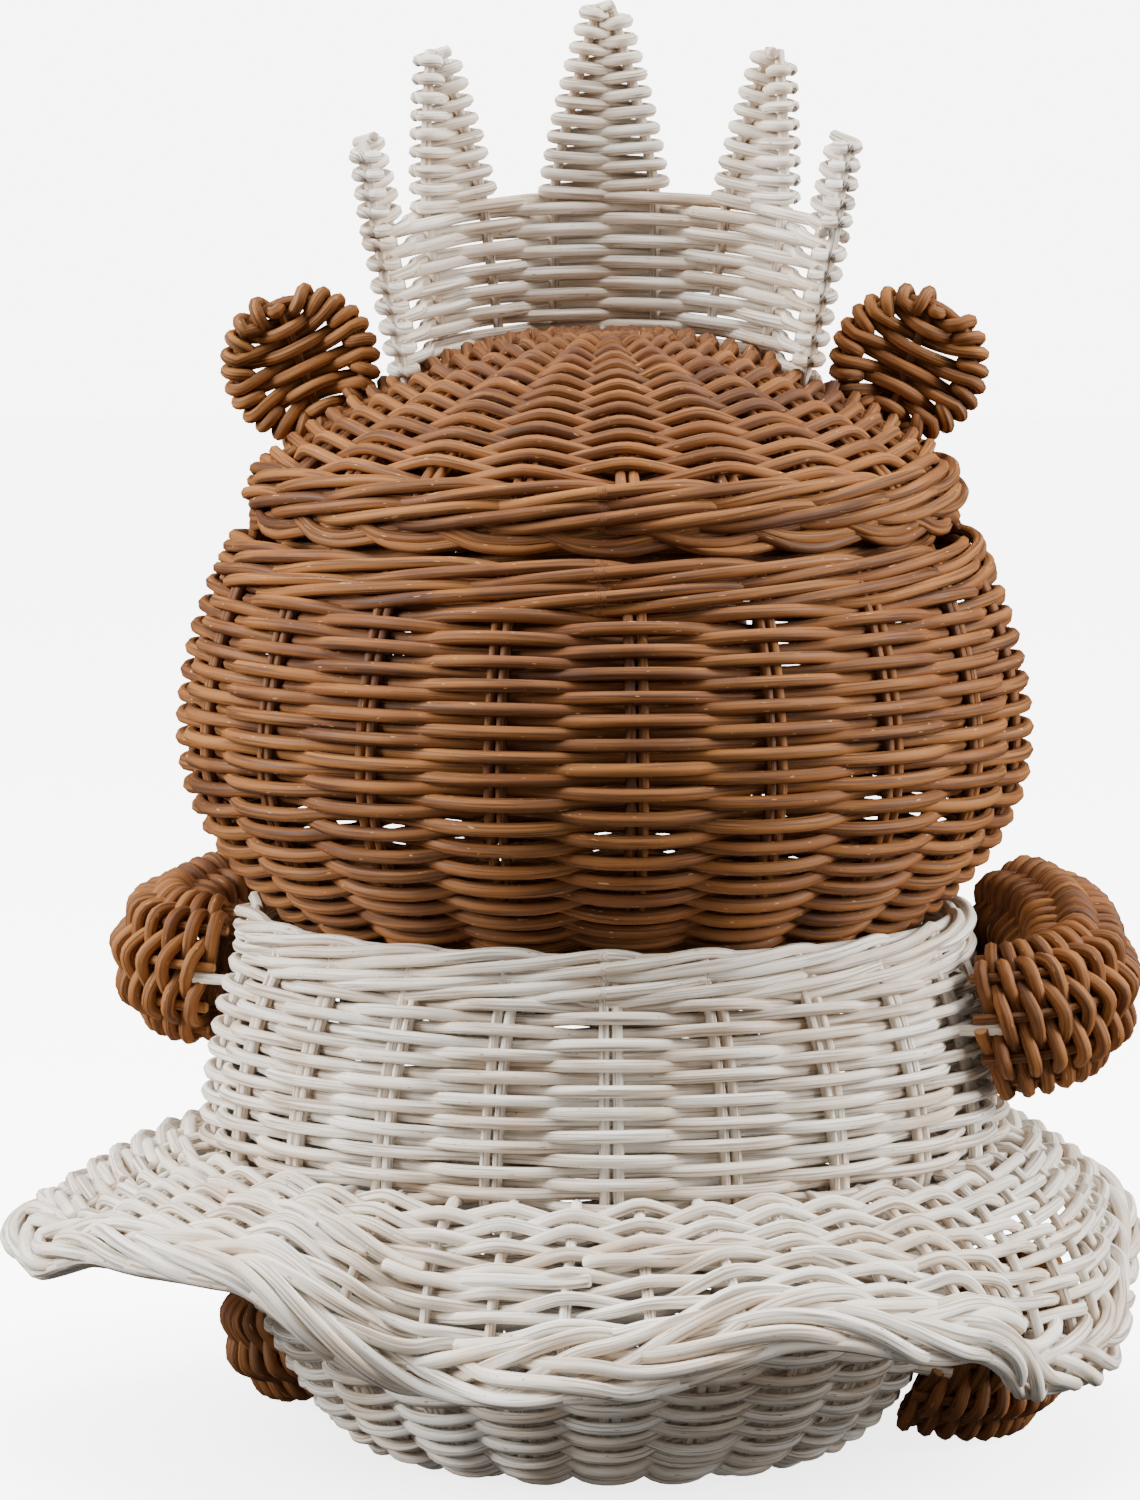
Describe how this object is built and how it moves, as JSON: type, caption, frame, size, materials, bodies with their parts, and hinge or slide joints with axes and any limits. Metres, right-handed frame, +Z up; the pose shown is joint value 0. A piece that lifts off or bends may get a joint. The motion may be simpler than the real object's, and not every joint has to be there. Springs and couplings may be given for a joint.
{
  "type": "rattan storage basket",
  "caption": "Bear-shaped wicker storage basket: round body with a wavy woven skirt, lift-off head bowl and a domed lid with ears and a half-ring crown.",
  "frame": {"origin": "middle of the woven base's underside, on the floor", "axes": "+Z up along the basket's axis; the bear's head faces -Y, so its back is toward +Y and its left side toward +X"},
  "size_m": [0.4701, 0.4806, 0.5818],
  "materials": {
    "rattan_white": "white-washed round rattan cane, matt, grain showing through",
    "rattan_brown": "brown stained round rattan cane, satin",
    "dark_wood": "dark stained turned wood, satin"
  },
  "bodies": {
    "body": {"base_disc": "rattan_white", "base_border": "rattan_white", "bowl_weave": "rattan_white", "torso_weave": "rattan_white", "body_stakes_and_rim": "rattan_white", "skirt_panel": "rattan_white", "skirt_border": "rattan_white", "arm_left": "rattan_brown", "arm_right": "rattan_brown", "leg_left": "rattan_brown", "leg_right": "rattan_brown", "arm_left_peg_1": "rattan_white", "arm_left_peg_2": "rattan_white", "arm_left_peg_3": "rattan_white", "arm_right_peg_1": "rattan_white", "arm_right_peg_2": "rattan_white", "arm_right_peg_3": "rattan_white", "leg_left_peg_1": "rattan_white", "leg_left_peg_2": "rattan_white", "leg_right_peg_1": "rattan_white", "leg_right_peg_2": "rattan_white"},
    "head": {"head_base_disc": "rattan_brown", "head_weave": "rattan_brown", "head_stakes_and_rim": "rattan_brown", "muzzle": "rattan_brown", "nose": "dark_wood", "eye_left": "dark_wood", "eye_right": "dark_wood"},
    "lid": {"lid_border": "rattan_brown", "lid_weave": "rattan_brown", "lid_centre_weave": "rattan_brown", "lid_edge": "rattan_brown", "lid_locating_ring": "rattan_brown", "ear_left_hoop": "rattan_brown", "ear_right_hoop": "rattan_brown", "ear_left_weave": "rattan_brown", "ear_right_weave": "rattan_brown", "crown_band": "rattan_white", "crown_spike_far_left": "rattan_white", "crown_spike_left": "rattan_white", "crown_spike_middle": "rattan_white", "crown_spike_right": "rattan_white", "crown_spike_far_right": "rattan_white", "crown_stake_far_left": "rattan_white", "crown_stake_left": "rattan_white", "crown_stake_middle": "rattan_white", "crown_stake_right": "rattan_white", "crown_stake_far_right": "rattan_white", "crown_peg_left": "rattan_white", "crown_peg_middle": "rattan_white", "crown_peg_right": "rattan_white"}
  },
  "joints": [
    {"name": "head_lift", "type": "slide", "parent": "body", "child": "head", "axis": [0, 0, 1], "range_m": [0, 0.13]},
    {"name": "lid_lift", "type": "slide", "parent": "head", "child": "lid", "axis": [0, 0, 1], "range_m": [0, 0.09]}
  ]
}
